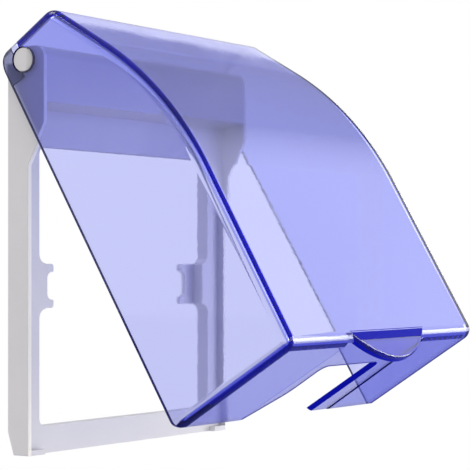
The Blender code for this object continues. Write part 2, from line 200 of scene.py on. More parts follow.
# %% One cut or one joint
def settle(body):
    """The mesh that the modifiers give takes the place of the drawn one."""
    graph = bpy.context.evaluated_depsgraph_get()
    made = bpy.data.meshes.new_from_object(body.evaluated_get(graph), preserve_all_data_layers=True,
                                           depsgraph=graph)
    body.modifiers.clear()
    drawn = body.data
    body.data = made
    made.name = drawn.name
    bpy.data.meshes.remove(drawn)


def combine(body, other, operation, slot=0):
    """One Boolean step, after which the other solid goes.

    The faces that a cut leaves take their slot from the cutter: one number for all, or a list with one for each.
    """
    step = body.modifiers.new("step", "BOOLEAN")
    step.operation = operation
    step.solver = "EXACT"
    for material in body.data.materials:
        other.data.materials.append(material)
    slots = np.empty(len(other.data.polygons), np.int32)
    slots[:] = slot
    other.data.polygons.foreach_set("material_index", slots)
    step.object = other
    settle(body)
    bpy.data.objects.remove(other, do_unlink=True)


def state(body):
    """Faces, edges that don't join two faces, and the volume in cubic centimetres."""
    shape = bmesh.new()
    shape.from_mesh(body.data)
    volume = shape.calc_volume(signed=True) * CUBIC_CM_IN_A_CUBIC_METRE
    row = (len(shape.faces), sum(not e.is_manifold for e in shape.edges), volume)
    shape.free()
    return "%d faces, %d open edges, %.2f cm3" % row


# %% [markdown]
# ## The lid's outside
# The lid is one clear moulding. From the side it has a flat bottom, a nearly straight lower front, a long bow of
# 85 mm radius and a top that slopes gently down to the hinge. Drawing the bow as a true arc, with a point at
# least every 0.8 degrees, keeps the long highlights on it smooth.
#
# The lid has five materials, and each face keeps the number of its own: the clear wall, the edge painted deep
# blue as light, the dull relief tinted darker, partly as painted shade, the trimmed edge painted nearly black as
# shade, and the back of the finger lip.

# %% The lid's section
LID_WALL = 1.9
LID_EDGE = 2.6
SIDE_GAP = 0.4
LID_HALF = HALF_WIDTH + SIDE_GAP + LID_WALL
LID_BACK = -6.2
BACK_BOTTOM = -100.0
FRONT_BOTTOM = -98.3
FRONT_AT_BOTTOM = 31.7
CHIN_RADIUS = 3.0
BOW_FRONT = 32.3
BOW_RADIUS = 85.0
BOW_BOTTOM = -50.0
BOW_ANGLE = 29.0
BROW_RADIUS = 3.5
TOP_HEIGHT = 5.8
TOP_SLOPE = 4.0
PAST = 3.0
BOW_STEP = 0.8
CORNER_STEP = 3.0
RIM_STEPS = 10
slope = (FRONT_BOTTOM - BACK_BOTTOM) / (FRONT_AT_BOTTOM - LID_BACK)


def lid_section(back, chin_radius=CHIN_RADIUS, brow_radius=BROW_RADIUS):
    """The outside section, anticlockwise from its bottom rear corner.

    The bow's last tangent and the top's line meet in the brow.
    """
    bow = arc((BOW_FRONT - BOW_RADIUS, BOW_BOTTOM), BOW_RADIUS, 0.0, BOW_ANGLE, BOW_STEP)
    lean, rise = math.radians(BOW_ANGLE), math.tan(math.radians(TOP_SLOPE))
    end_u, end_v = bow[-1]
    brow_u = (end_u * math.cos(lean) + end_v * math.sin(lean) - TOP_HEIGHT * math.sin(lean))
    brow_u /= math.cos(lean) + rise * math.sin(lean)
    brow = np.array((brow_u, TOP_HEIGHT + rise * brow_u))
    rear_low = np.array((back, BACK_BOTTOM + slope * (back - LID_BACK)))
    rear_top = np.array((back, TOP_HEIGHT + rise * back))
    chin = np.array((FRONT_AT_BOTTOM, FRONT_BOTTOM))
    return np.vstack((rear_low[None], corner_arc(rear_low, chin, bow[0], chin_radius, CORNER_STEP), bow,
                      corner_arc(bow[-1], brow, rear_top, brow_radius, CORNER_STEP), rear_top[None]))


CLEAR, LIT_EDGE, DULL, SHADE_EDGE, LIP_REAR = range(5)
LID_PLASTICS = ("blue_polycarbonate", "blue_polycarbonate_painted_light_edge", "blue_polycarbonate_frosted_shaded",
                "blue_polycarbonate_painted_shade_edge", "blue_polycarbonate_lip_back")
lid = solid("splash_cover_visual", across(rings_of(lid_section(LID_BACK - 2.0 * PAST), -LID_HALF, LID_HALF,
                                                   LID_EDGE, LID_EDGE, RIM_STEPS)))
for plastic in LID_PLASTICS:
    lid.data.materials.append(bpy.data.materials.new(plastic))
print("block:", state(lid))

# %% [markdown]
# ## The lid's back edge
# The back edge is cut so that the lid clears the wall as it swings: a round of 6.2 mm about the axis over the
# pins, a straight edge down the cheeks, and a heel at the bottom. The rounds run out past the block, so that
# the cut crosses its surface and never ends on it.

# %% Trimming the lid
HEEL_RADIUS = 2.5
HEEL_SINK = 0.12
RUN_OUT = 12.0
SWING_STEP = 4.0
HEEL_STEP = 6.0
swing = -LID_BACK
top_over_axis = TOP_HEIGHT * math.cos(math.radians(TOP_SLOPE))
meets = 90.0 + TOP_SLOPE + math.degrees(math.acos(min(1.0, top_over_axis / swing)))
over_pins = arc((0.0, 0.0), swing, meets - RUN_OUT, 180.0, SWING_STEP)
heel_u = LID_BACK + HEEL_RADIUS
heel_v = BACK_BOTTOM + slope * HEEL_RADIUS + HEEL_RADIUS - HEEL_SINK
heel = arc((heel_u, heel_v), HEEL_RADIUS, 180.0, 270.0, HEEL_STEP)
far = LID_BACK - 3.0 * PAST
trim_outline = np.vstack((over_pins, heel, [[heel_u, BACK_BOTTOM - PAST], [far, BACK_BOTTOM - PAST],
                                            [far, TOP_HEIGHT + PAST], [over_pins[0, 0], TOP_HEIGHT + PAST]]))
# The faces that the trim leaves are painted nearly black, as shade.
combine(lid, solid("trim", across(rings_of(trim_outline, -LID_HALF - PAST, LID_HALF + PAST))), "DIFFERENCE",
        SHADE_EDGE)
print("trimmed:", state(lid))

# %% [markdown]
# ## The lid's inside
# The wall is 1.9 mm thick all round. A Solidify modifier would make it too, but a hollow that is cut out can
# have corners of its own: inside, the cheeks meet the front in a round of 1.0 mm, and light that is caught in
# that corner shows as the deep-blue line along the lid's front edges.

# %% Hollowing the lid
INNER_EDGE = 1.0
SMALLEST = 0.3


def lid_inside(back, more=0.0):
    """The inside section: the outside moved in by the wall and more.

    It is carried out through the open back, and up through the top behind the axis. Its corners never get
    sharper than a radius of SMALLEST.
    """
    wall = LID_WALL + more
    skin = lid_section(LID_BACK, max(CHIN_RADIUS, wall + SMALLEST), max(BROW_RADIUS, wall + SMALLEST))
    inner = inset(skin, wall)[1:-1]
    floor_rise = slope * (inner[0, 0] - back)
    low = np.array((back, inner[0, 1] - floor_rise))
    rise = math.tan(math.radians(TOP_SLOPE))
    over_axis = np.array((-more, inner[-1, 1] - rise * (inner[-1, 0] + more)))
    above_top = TOP_HEIGHT + PAST
    return np.vstack((low[None], inner, over_axis[None], [[-more, above_top]], [[back, above_top]]))


inner_half = LID_HALF - LID_WALL
behind_back = LID_BACK - PAST
hollow = rings_of(lid_inside(behind_back), -inner_half, inner_half, INNER_EDGE, INNER_EDGE, RIM_STEPS,
                  lambda outline, more: lid_inside(behind_back, more))
combine(lid, solid("hollow", across(hollow)), "DIFFERENCE")
print("hollowed:", state(lid))

# %% [markdown]
# ## The sunk field
# The middle of the bottom wall is a shallow sunk field, a little wider at the back. It is cut before the slot,
# as a flat plan carried straight down and laid on the slope of the bottom.

# %% The field in the bottom
FIELD_DEPTH = 0.45
FIELD_HALF_BACK = 21.9
FIELD_HALF_FRONT = 19.4
LIP_PROUD = 0.08
tilt = math.atan(slope)
lift = BACK_BOTTOM - slope * LID_BACK
lip_front = FRONT_AT_BOTTOM + LIP_PROUD


def on_bottom(rings):
    """Rings drawn from below, (x, u, depth), laid on the bottom's slope.

    u runs up the slope and depth runs down from it, so both are turned by the tilt and lifted to the bottom.
    """
    x, u, depth = rings[..., 0], rings[..., 1], rings[..., 2]
    out = u * math.cos(tilt) + depth * math.sin(tilt)
    up = u * math.sin(tilt) - depth * math.cos(tilt) + lift
    return np.stack((x, out, up), axis=-1)


field_plan = np.array(((-FIELD_HALF_BACK, behind_back), (FIELD_HALF_BACK, behind_back),
                       (FIELD_HALF_FRONT, lip_front + PAST), (-FIELD_HALF_FRONT, lip_front + PAST)))
combine(lid, solid("field", on_bottom(rings_of(field_plan, -FIELD_DEPTH, PAST))), "DIFFERENCE")
print("field done:", state(lid))

# %% [markdown]
# ## The finger lip
# Below the front wall hangs a lip for a finger, a thin slice of a disc with a rounded rim. It joins the lid
# before the slot is cut. Moving a disc's outline inwards is moving its arc and its chord, so the lip has its own
# inset, which can't fold over itself as the plain one would.

# %% The lip
LIP_HALF = 19.7
LIP_TOP = -95.4
LIP_BOTTOM = -103.7
LIP_THICK = 2.1
LIP_RIM = 0.9
LIP_REAR_RIM = 0.25
LIP_STEPS = 5
LIP_POINTS = 49
sag = LIP_TOP - LIP_BOTTOM
lip_radius = (LIP_HALF ** 2 + sag ** 2) / (2.0 * sag)
lip_centre = LIP_BOTTOM + lip_radius


def lip_shape(more):
    """A slice of a disc: the disc's radius less the inset, from one end of the chord to the other.

    The chord lies lower by the inset too.
    """
    radius = lip_radius - more
    reach = math.acos((lip_centre - LIP_TOP + more) / radius)
    angle = np.linspace(-reach, reach, LIP_POINTS)
    return np.column_stack((radius * np.sin(angle), lip_centre - radius * np.cos(angle)))


lip_outline = lip_shape(0.0)
lip_rings = rings_of(lip_outline, lip_front - LIP_THICK, lip_front, LIP_REAR_RIM, LIP_RIM, LIP_STEPS,
                     lambda outline, more: lip_shape(more))
side_faces, front_round = (LIP_STEPS + 1) * len(lip_outline), LIP_STEPS * len(lip_outline)
# The lip's sides are painted deep blue, as the light that comes out of them.
lip_slots = [LIT_EDGE] * side_faces + [CLEAR] * front_round + [LIP_REAR, CLEAR]
combine(lid, solid("lip", outward(lip_rings)), "UNION", lip_slots)
print("lip done:", state(lid), " disc radius: %.1f mm" % lip_radius)

# %% [markdown]
# ## The band across the lip
# A deep-blue band crosses the top of the lip, where light that has run down the front wall comes out. That light
# is painted: the band is an opaque blue. It is a pocket only 0.06 mm deep, so that the painted band is a shape of
# its own and keeps a crisp outline.

# %% The band
BAND_DROP = 0.15
BAND_HIGH = 2.6
BAND_SINK = 0.06
BAND_HALF_TOP = 18.9
BAND_HALF_LOW = 16.4
band_top = LIP_TOP - BAND_DROP
band_plan = np.array(((-BAND_HALF_TOP, band_top), (-BAND_HALF_LOW, band_top - BAND_HIGH),
                      (BAND_HALF_LOW, band_top - BAND_HIGH), (BAND_HALF_TOP, band_top)))
combine(lid, solid("band", outward(rings_of(band_plan, lip_front - BAND_SINK, lip_front + PAST))), "DIFFERENCE",
        LIT_EDGE)
print("band done:", state(lid))

# %% [markdown]
# ## The cable slot
# Cords leave through a slot in the bottom wall, which is open to the back. Its left side opens out towards the
# wall in a long soft curve, so the plan is drawn by its corners, each with its own radius.

# %% The slot
SLOT_HALF = 14.1
SLOT_FRONT = 19.0
SLOT_CORNER = 2.4
SLOT_FLARE = 5.4
SLOT_FLARE_FROM = 7.0
SLOT_FLARE_RADIUS = 14.0
flare = SLOT_FLARE * (SLOT_FLARE_FROM - behind_back) / (SLOT_FLARE_FROM - LID_BACK)
slot_plan = rounded([(-SLOT_HALF - flare, behind_back, 0.0), (SLOT_HALF, behind_back, 0.0),
                     (SLOT_HALF, SLOT_FRONT, SLOT_CORNER), (-SLOT_HALF, SLOT_FRONT, SLOT_CORNER),
                     (-SLOT_HALF, SLOT_FLARE_FROM, SLOT_FLARE_RADIUS)])
# The slot's wall is painted deep blue, as the light that comes out of it.
combine(lid, solid("slot", on_bottom(rings_of(slot_plan, -LID_WALL - PAST, PAST))), "DIFFERENCE", LIT_EDGE)
print("bottom done:", state(lid))

# %% [markdown]
# ## Hinge holes
# The lid snaps over the frame's pins. Round each hole the cheek is thinner on the inside, so that it can spring
# over the pin, and the hole runs right through, so the pin's end shows.

# %% Relief and holes
RELIEF_DEPTH = 0.9
RELIEF_FRONT = -2.2
RELIEF_BOTTOM = -3.6
PIN_RADIUS = 2.9
PIN_GAP = 0.3
HOLE_STEP = 5.0
relief = np.array(((behind_back, RELIEF_BOTTOM), (RELIEF_FRONT, RELIEF_BOTTOM),
                   (RELIEF_FRONT, TOP_HEIGHT + PAST), (behind_back, TOP_HEIGHT + PAST)))
# The pockets' side walls are painted nearly black as shade; their floors take the dull blue, whose darker tint is
# painted shade.
relief_slots = [SHADE_EDGE] * len(relief) + [DULL, DULL]
combine(lid, solid("relief", across(rings_of(relief, -inner_half - RELIEF_DEPTH, inner_half + RELIEF_DEPTH))),
        "DIFFERENCE", relief_slots)
hole = arc((0.0, 0.0), PIN_RADIUS + PIN_GAP, 0.0, 360.0 - HOLE_STEP, HOLE_STEP)
# The holes' walls are painted nearly black, as shade.
combine(lid, solid("holes", across(rings_of(hole, -LID_HALF - PAST, LID_HALF + PAST))), "DIFFERENCE", SHADE_EDGE)
print("holes done:", state(lid))

# %% [markdown]
# ## Softened edges
# No moulded edge is truly sharp: polishing and the plastic's shrinkage leave about a quarter of a millimetre.
# These small rounds catch the light, so each edge that turns by more than 30 degrees gets one. Weighted normals
# then keep the large faces flat, while the rounds blend into them.

# %% Edge rounds and normals
EDGE_ROUND = 0.22
SHARP_TURN = 30.0
SAME_PLACE = 0.02
TINY_EDGE = 0.01
FLAT_TURN = 0.1
NORMAL_WEIGHT = 60


def soften(body, width, segments=2):
    """Merges doubles and flat neighbours, rounds each sharp edge by the width in mm, and weights the normals."""
    shape = bmesh.new()
    shape.from_mesh(body.data)
    bmesh.ops.remove_doubles(shape, verts=shape.verts, dist=SAME_PLACE * MM)
    bmesh.ops.dissolve_degenerate(shape, edges=shape.edges, dist=TINY_EDGE * MM)
    bmesh.ops.dissolve_limit(shape, angle_limit=math.radians(FLAT_TURN), verts=shape.verts, edges=shape.edges)
    shape.to_mesh(body.data)
    shape.free()
    bevel = body.modifiers.new("edge rounds", "BEVEL")
    bevel.width = width * MM
    bevel.segments = segments
    bevel.limit_method = "ANGLE"
    bevel.angle_limit = math.radians(SHARP_TURN)
    bevel.miter_outer = "MITER_ARC"
    bevel.use_clamp_overlap = True
    settle(body)
    body.data.shade_smooth()
    weigh = body.modifiers.new("flat faces stay flat", "WEIGHTED_NORMAL")
    weigh.mode = "FACE_AREA"
    weigh.weight = NORMAL_WEIGHT
    weigh.keep_sharp = False


# %% [markdown]
# ## The lid in its place
# So far the lid is closed and in millimetres. Its object has to stay at the origin, unturned, so the points
# themselves are turned open and scaled. That mirrors the drawing, and its faces may have to be turned round.

# %% Placing the lid
def place(body, mapping):
    """Every point of the mesh goes through the mapping from (x, u, v) to the row frame, all at once."""
    count = len(body.data.vertices)
    flat = np.empty(count * 3)
    body.data.vertices.foreach_get("co", flat)
    spots = mapping(flat.reshape(-1, 3))
    body.data.vertices.foreach_set("co", spots.ravel())
    body.data.update()


place(lid, opened)
face_outwards(lid.data)
print("placed:", state(lid))
soften(lid, EDGE_ROUND)
print("softened:", state(lid))
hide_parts("splash_cover")
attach(lid, "cover")

# %% [markdown]
# ## The frame
# The frame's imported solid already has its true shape, ribs and hollows. A copy of it gets the softened edges
# that the real moulding has; its loose triangles are merged first, and flat ones become whole faces again.

# %% The frame's moulding
FRAME_ROUND = 0.3
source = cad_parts["base_frame"]
base = bpy.data.objects.new("base_frame_visual", source.data.copy())
bpy.context.scene.collection.objects.link(base)
base.data.materials.clear()
soften(base, FRAME_ROUND)
print("frame:", state(base))
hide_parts("base_frame")
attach(base, "frame")

# %% [markdown]
# ## Helpers for materials
# A material here is a small graph of nodes. These helpers set many sockets in one line, and make the nodes that
# come back again and again: one sum, one mix of two shaders, and the Principled shader of a named material.

# %% Nodes in fewer lines
def put(node, values):
    """Sets the node's sockets, which are given by name."""
    for socket, value in values.items():
        node.inputs[socket].default_value = value


def maths(tree, operation, first, second, clamp=False):
    """One sum of two values, each of which is a number or the output of another node."""
    node = tree.nodes.new("ShaderNodeMath")
    node.operation, node.use_clamp = operation, clamp
    for socket, value in zip(node.inputs, (first, second)):
        if isinstance(value, float):
            socket.default_value = value
        else:
            tree.links.new(value, socket)
    return node.outputs[0]


def mix_shaders(tree, share, first, second):
    """The first shader where the share is 0, the second where it is 1, and a blend between."""
    mix = tree.nodes.new("ShaderNodeMixShader")
    for socket, output in zip(mix.inputs, (share, first, second)):
        tree.links.new(output, socket)
    return mix.outputs[0]


def blank(name):
    """A material of that name, with its node tree and its Principled shader."""
    material = bpy.data.materials.get(name) or bpy.data.materials.new(name)
    material.use_nodes = True
    tree = material.node_tree
    return material, tree, tree.nodes["Principled BSDF"]


# %% [markdown]
# ## A grain for both plastics
# A mould's surface is never quite smooth. The frame's shows as a fine matt grain, and the polished lid's as a
# slow waviness in its reflections. Both are the same two noises in other shares, so they are one node group,
# with a third, broad noise as a mask of where hands have rubbed.

# %% A shared grain for moulded surfaces
RUBBED_SCALE = 45.0
RUBBED_DETAIL = 6.0
RUBBED_ROUGHNESS = 0.65


def new_group(name, inputs, outputs):
    """An empty node group with the inputs (name, value) and the outputs (name)."""
    group = bpy.data.node_groups.new(name, "ShaderNodeTree")
    for socket, value in inputs:
        made = group.interface.new_socket(socket, in_out="INPUT", socket_type="NodeSocketFloat")
        made.default_value = value
    for socket in outputs:
        group.interface.new_socket(socket, in_out="OUTPUT", socket_type="NodeSocketFloat")
    return group


def moulded_grain():
    """Height: fine noise plus a slow waviness. Wear: a mask of rubbed patches, from broad noise."""
    group = new_group("moulded grain", [("Grain", 4000.0), ("Wave", 60.0), ("Wave share", 0.5)],
                      ["Height", "Wear"])
    nodes, links = group.nodes, group.links
    start, end = nodes.new("NodeGroupInput"), nodes.new("NodeGroupOutput")
    where = nodes.new("ShaderNodeTexCoord")
    fine, slow, broad = (nodes.new("ShaderNodeTexNoise") for _ in range(3))
    put(fine, {"Detail": 2.0})
    put(slow, {"Detail": 1.0})
    put(broad, {"Scale": RUBBED_SCALE, "Detail": RUBBED_DETAIL, "Roughness": RUBBED_ROUGHNESS})
    mix = nodes.new("ShaderNodeMix")
    for noise in (fine, slow, broad):
        links.new(where.outputs["Object"], noise.inputs["Vector"])
    links.new(start.outputs["Grain"], fine.inputs["Scale"])
    links.new(start.outputs["Wave"], slow.inputs["Scale"])
    links.new(start.outputs["Wave share"], mix.inputs["Factor"])
    links.new(fine.outputs["Fac"], mix.inputs["A"])
    links.new(slow.outputs["Fac"], mix.inputs["B"])
    links.new(mix.outputs["Result"], end.inputs["Height"])
    links.new(broad.outputs["Fac"], end.inputs["Wear"])
    return group


grain = moulded_grain()


def grained(tree, shader, share, wear, roughness, bump):
    """Puts the grain in a shader: Wear, mapped from wear to roughness, sets its Roughness, and Height a bump."""
    texture = tree.nodes.new("ShaderNodeGroup")
    texture.node_tree = grain
    put(texture, share)
    gloss = tree.nodes.new("ShaderNodeMapRange")
    put(gloss, {"From Min": wear[0], "From Max": wear[1], "To Min": roughness[0], "To Max": roughness[1]})
    relief_bump = tree.nodes.new("ShaderNodeBump")
    put(relief_bump, bump)
    tree.links.new(texture.outputs["Wear"], gloss.inputs["Value"])
    tree.links.new(gloss.outputs["Result"], shader.inputs["Roughness"])
    tree.links.new(texture.outputs["Height"], relief_bump.inputs["Height"])
    tree.links.new(relief_bump.outputs["Normal"], shader.inputs["Normal"])
    return texture


print("grain's sockets:", [s.name for s in grain.interface.items_tree])

# %% [markdown]
# ## The frame's grey ABS
# The frame is a light warm grey ABS with the fine matt grain of an eroded mould. One colour all over would do,
# but two close greys, mixed by the rubbed mask, look less like paint. The thin front edges of the side walls carry
# a painted highlight: a mask by place and by the way a face looks picks them out and paints them pale.

# %% The grey plastic
HIGHLIGHT_FROM = 43.7 * MM
HIGHLIGHT_FADE = 0.1 * MM
HIGHLIGHT_TURN_FROM, HIGHLIGHT_TURN_TO = -0.4, -0.7
# The pale colour of the highlight painted on the side walls' front edges.
PAINTED_HIGHLIGHT = (1.0, 0.98, 0.88, 1.0)
GREYS = ((0.3, (0.70, 0.69, 0.69, 1.0)), (0.75, (0.735, 0.725, 0.725, 1.0)))
ABS_IOR = 1.53


def painted_highlight_mask(tree):
    """A mask of the side walls' thin front edges, where a highlight is painted.

    It is how far out across a point lies, times how far its face looks to the front.
    """
    nodes, links = tree.nodes, tree.links
    place_node = nodes.new("ShaderNodeTexCoord")
    apart, facing_front = nodes.new("ShaderNodeSeparateXYZ"), nodes.new("ShaderNodeSeparateXYZ")
    links.new(place_node.outputs["Object"], apart.inputs[0])
    links.new(place_node.outputs["Normal"], facing_front.inputs[0])
    out = nodes.new("ShaderNodeMath")
    out.operation = "ABSOLUTE"
    aside, front = nodes.new("ShaderNodeMapRange"), nodes.new("ShaderNodeMapRange")
    put(aside, {"From Min": HIGHLIGHT_FROM, "From Max": HIGHLIGHT_FROM + HIGHLIGHT_FADE})
    put(front, {"From Min": HIGHLIGHT_TURN_FROM, "From Max": HIGHLIGHT_TURN_TO})
    links.new(apart.outputs["X"], out.inputs[0])
    links.new(out.outputs[0], aside.inputs["Value"])
    links.new(facing_front.outputs["Y"], front.inputs["Value"])
    return maths(tree, "MULTIPLY", aside.outputs["Result"], front.outputs["Result"])


def grey_abs():
    """Two greys by the rubbed mask, with a painted highlight where the front-edge mask is 1."""
    material, tree, shader = blank("grey_abs")
    texture = grained(tree, shader, {"Grain": 3200.0, "Wave": 90.0, "Wave share": 0.25}, (0.0, 1.0), (0.34, 0.48),
                      {"Strength": 0.25, "Distance": 0.00004})
    tone = tree.nodes.new("ShaderNodeValToRGB")
    for element, (position, colour) in zip(tone.color_ramp.elements, GREYS):
        element.position, element.color = position, colour
    highlight_mix = tree.nodes.new("ShaderNodeMix")
    highlight_mix.data_type = "RGBA"
    put(highlight_mix, {"B": PAINTED_HIGHLIGHT})
    tree.links.new(texture.outputs["Wear"], tone.inputs["Fac"])
    # Where the mask is 1, the grey gives way to the painted highlight.
    tree.links.new(painted_highlight_mask(tree), highlight_mix.inputs["Factor"])
    tree.links.new(tone.outputs["Color"], highlight_mix.inputs["A"])
    tree.links.new(highlight_mix.outputs["Result"], shader.inputs["Base Color"])
    put(shader, {"IOR": ABS_IOR})
    return material


base.data.materials.append(grey_abs())
print("frame's plastic:", [m.name for m in base.data.materials])

# %% [markdown]
# ## The lid's clear blue
# The lid is a clear plastic, taken to be polycarbonate, and tinted right through. Its colour is not on its
# surface: light loses red and green on its way through, so a wall seen flat is pale and a wall seen along its
# length is deep blue. That is what Volume Absorption does.
#
# A renderer draws no lamp light through a refracting wall without much noise. So rays that look for a lamp pass
# the wall straight, with a faint tint, and the frame behind the lid is lit evenly.

# %% The clear plastic
ABSORBED = 255.0
TINT = (0.0, 0.07, 0.988, 1.0)
SURFACE_TINT = (1.0, 1.0, 0.96, 1.0)
SHADOW_TINT = (1.0, 1.0, 0.78, 1.0)
CLEAR_IOR = 1.58


def absorb(tree):
    """The share of each colour that is left falls with the way through the plastic, by the density and the tint."""
    depth = tree.nodes.new("ShaderNodeVolumeAbsorption")
    put(depth, {"Color": TINT, "Density": ABSORBED})
    tree.links.new(depth.outputs["Volume"], tree.nodes["Material Output"].inputs["Volume"])


def clear_blue():
    """A transmitting shader with absorption inside, and a straight tinted way through for shadow rays."""
    _, tree, shader = blank(LID_PLASTICS[CLEAR])
    grained(tree, shader, {"Grain": 900.0, "Wave": 35.0, "Wave share": 0.92}, (0.45, 0.8), (0.015, 0.07),
            {"Strength": 0.08, "Distance": 0.0003})
    put(shader, {"Base Color": SURFACE_TINT, "Transmission Weight": 1.0, "IOR": CLEAR_IOR})
    absorb(tree)
    path, passing = tree.nodes.new("ShaderNodeLightPath"), tree.nodes.new("ShaderNodeBsdfTransparent")
    put(passing, {"Color": SHADOW_TINT})
    surface = mix_shaders(tree, path.outputs["Is Shadow Ray"], shader.outputs[0], passing.outputs[0])
    tree.links.new(surface, tree.nodes["Material Output"].inputs["Surface"])


clear_blue()
print("clear plastic: density %.0f, tint %s" % (ABSORBED, TINT[:3]))

# %% [markdown]
# ## The lid's edges
# On the real lid, light runs along inside the walls and leaves at their ends, which glow deep blue, or look
# nearly black where little light arrives. That light isn't traced here but painted: the slot's wall, the lip's
# sides and the band get a plain opaque blue of painted light, and the trimmed edges, the relief's side walls and
# the holes a nearly black one of painted shade. The dull relief and the back of the lip still let light through,
# but scatter and colour it; the relief's darker tint is partly painted shade.

# %% Painted edge light and shade, relief and lip back
EDGE_ROUGHNESS = 0.3
EDGE_SPECULAR = 0.03
PAINTED_LIGHT_BLUE = (0.003, 0.006, 0.45, 1.0)
PAINTED_SHADE_BLUE = (0.001, 0.002, 0.09, 1.0)
# The relief's roughness is its own; its darker tint is painted shade.
DULL_SHADED_BLUE = (0.26, 0.27, 0.44, 1.0)
LIP_BLUE = (0.3, 0.42, 1.0, 1.0)


def painted_edge_light(slot, colour):
    """Paints a wall's end opaque: deep blue as painted light where light that ran along the wall comes out, nearly
    black as painted shade where hardly any does.
    """
    _, _, shader = blank(LID_PLASTICS[slot])
    put(shader, {"Base Color": colour, "Roughness": EDGE_ROUGHNESS, "Specular IOR Level": EDGE_SPECULAR})


def tinted_blue(slot, colour, roughness, clearness):
    """Light comes through by the share of clearness, is tinted at the surface and is scattered by roughness."""
    _, tree, shader = blank(LID_PLASTICS[slot])
    put(shader, {"Base Color": colour, "Roughness": roughness, "Transmission Weight": clearness,
                 "IOR": CLEAR_IOR})
    absorb(tree)


painted_edge_light(LIT_EDGE, PAINTED_LIGHT_BLUE)
painted_edge_light(SHADE_EDGE, PAINTED_SHADE_BLUE)
tinted_blue(DULL, DULL_SHADED_BLUE, 0.45, 0.8)
tinted_blue(LIP_REAR, LIP_BLUE, 0.12, 1.0)
print("lid slots:", [m.name for m in lid.data.materials], "faces in each:",
      np.bincount([p.material_index for p in lid.data.polygons]).tolist())

# %% [markdown]
# ## Camera
# The picture was taken from the left and from slightly below the middle, with a long lens. The lens and place
# come from fitting the frame's known corners, so that the render lies over the photograph. Light is let through
# many walls, because it bounces often inside a clear moulding.

# %% Camera
PICTURE = 470.0
FOCAL_PIXELS = 1860.1
SENSOR = 36.0
NEAREST, FARTHEST = 0.02, 20.0
CAMERA_PLACE = (-0.4025, -0.2974, -0.0488)
AZIMUTH, ELEVATION, ROLL = -57.20, -1.01, -0.1
BOUNCES = 256


def turned_to(aim, roll):
    """The turn that makes an object look back along the aim, rolled about it by degrees."""
    return aim.to_track_quat("Z", "Y").to_matrix().to_4x4() @ Matrix.Rotation(math.radians(roll), 4, "Z")


camera = bpy.data.objects.new("camera", bpy.data.cameras.new("camera"))
bpy.context.scene.collection.objects.link(camera)
camera.data.sensor_width = SENSOR
camera.data.lens = SENSOR * FOCAL_PIXELS / PICTURE
camera.data.clip_start, camera.data.clip_end = NEAREST, FARTHEST
az, el = math.radians(AZIMUTH), math.radians(ELEVATION)
to_camera = Vector((math.sin(az) * math.cos(el), -math.cos(az) * math.cos(el), math.sin(el)))
camera.matrix_world = Matrix.Translation(CAMERA_PLACE) @ turned_to(to_camera, ROLL)
bpy.context.scene.camera = camera
bpy.context.scene.view_settings.view_transform = "Standard"
for kind in ("max_bounces", "transmission_bounces", "glossy_bounces"):
    setattr(bpy.context.scene.cycles, kind, BOUNCES)
print("lens: %.1f mm" % camera.data.lens)

# %% [markdown]
# ## What is seen and what is lit
# The picture's ground is plain white. The world and the floor show as white to the camera and through clear
# plastic, and light the object softly at a lower level. A ray's own history tells the two apart: once it has
# bounced off a matt surface, it no longer sees the white ground but the soft light.

# %% White where it is seen
WHITE = (1.0, 1.0, 1.0, 1.0)
DEEP_BLUE = (0.03, 0.06, 0.8, 1.0)


def white_where_seen(tree, seen_shader, lit_shader):
    """Mixes the lighting shader with what camera, glossy and transmission rays see.

    The share of what is seen is 1 for those rays, less the number of matt bounces, and never below 0.
    """
    path = tree.nodes.new("ShaderNodeLightPath")
    direct = maths(tree, "MAXIMUM", path.outputs["Is Camera Ray"], path.outputs["Is Glossy Ray"])
    either = maths(tree, "MAXIMUM", direct, path.outputs["Is Transmission Ray"])
    share = maths(tree, "SUBTRACT", either, path.outputs["Diffuse Depth"], clamp=True)
    return mix_shaders(tree, share, lit_shader, seen_shader)


# %% [markdown]
# ## The world
# The soft light is stronger from the left rear and weaker from the right front, which shapes the forms.
#
# Reflections don't see plain white. To rays that have been reflected, the world is dimmer above, has one bright
# card to the right, and is deep blue on the side where the photograph's camera stands. That gives the edges and
# rounds of the lid their dark and blue lines in the main view. These are fixed directions in the room, chosen
# for the photograph's view: the blue side's is the camera's own. So this is an arrangement of the studio, and
# not a property of the lid.

# %% World
SOFT_WHITE = (1.0, 0.985, 0.985, 1.0)
UP = (0.0, 0.0, 1.0)
TO_CARD = (0.84, -0.3, 0.45)
TO_BLUE_SIDE = (-0.84, -0.54, 0.0)
TO_LEFT_REAR = (-0.85, 0.53, 0.0)

world = bpy.data.worlds.new("studio")
bpy.context.scene.world = world
world.use_nodes = True
studio = world.node_tree
soft = studio.nodes["Background"]
put(soft, {"Color": SOFT_WHITE})
seen = studio.nodes.new("ShaderNodeBackground")
where_to = studio.nodes.new("ShaderNodeTexCoord").outputs["Generated"]


def facing(direction, low, high, at_low, at_high):
    """A value by how nearly a ray runs along the direction: the dot product of the two, mapped from low..high."""
    dot, value = studio.nodes.new("ShaderNodeVectorMath"), studio.nodes.new("ShaderNodeMapRange")
    dot.operation = "DOT_PRODUCT"
    dot.inputs[1].default_value = direction
    put(value, {"From Min": low, "From Max": high, "To Min": at_low, "To Max": at_high})
    studio.links.new(where_to, dot.inputs[0])
    studio.links.new(dot.outputs["Value"], value.inputs["Value"])
    return value.outputs["Result"]


def blend(kind, factor, first, second):
    """Mixes two values or two colours; the first one counts where the factor is 0."""
    node = studio.nodes.new("ShaderNodeMix")
    node.data_type = kind
    studio.links.new(factor, node.inputs["Factor"])
    pair = [s for s in node.inputs if s.enabled and s.name in "AB"]
    for socket, value in zip(pair, (first, second)):
        if isinstance(value, (tuple, float)):
            socket.default_value = value
        else:
            studio.links.new(value, socket)
    return [s for s in node.outputs if s.enabled][0]


